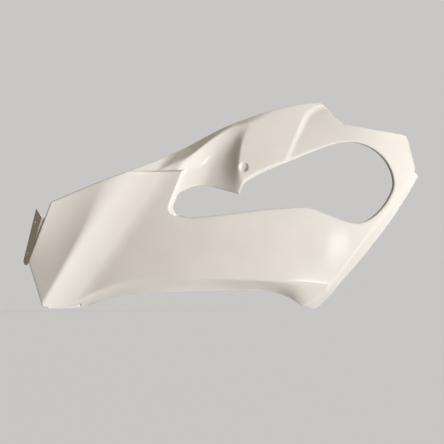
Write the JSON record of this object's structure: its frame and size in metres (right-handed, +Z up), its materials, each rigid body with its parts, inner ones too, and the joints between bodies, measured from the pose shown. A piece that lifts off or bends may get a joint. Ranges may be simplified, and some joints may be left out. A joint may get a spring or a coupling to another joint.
{
  "type": "motorcycle fairing side panel",
  "caption": "Moulded glass-fibre side panel of a motorcycle fairing, with a tear-drop opening, a scoop behind the main side, a ridge at its narrow end and a bonded fixing tab.",
  "frame": {"origin": "middle of the floor of the round fastener seat on the outer face", "axes": "+X along the machine towards the ring round the opening, +Z up, outer face towards -Y"},
  "size_m": [0.7925, 0.1955, 0.4158],
  "materials": {
    "gelcoat": "off-white polyester gelcoat, satin gloss",
    "tab_laminate": "off-white glass-fibre laminate, matte"
  },
  "bodies": {
    "root": {"side_panel": "gelcoat", "fixing_tab": "tab_laminate"}
  },
  "joints": []
}
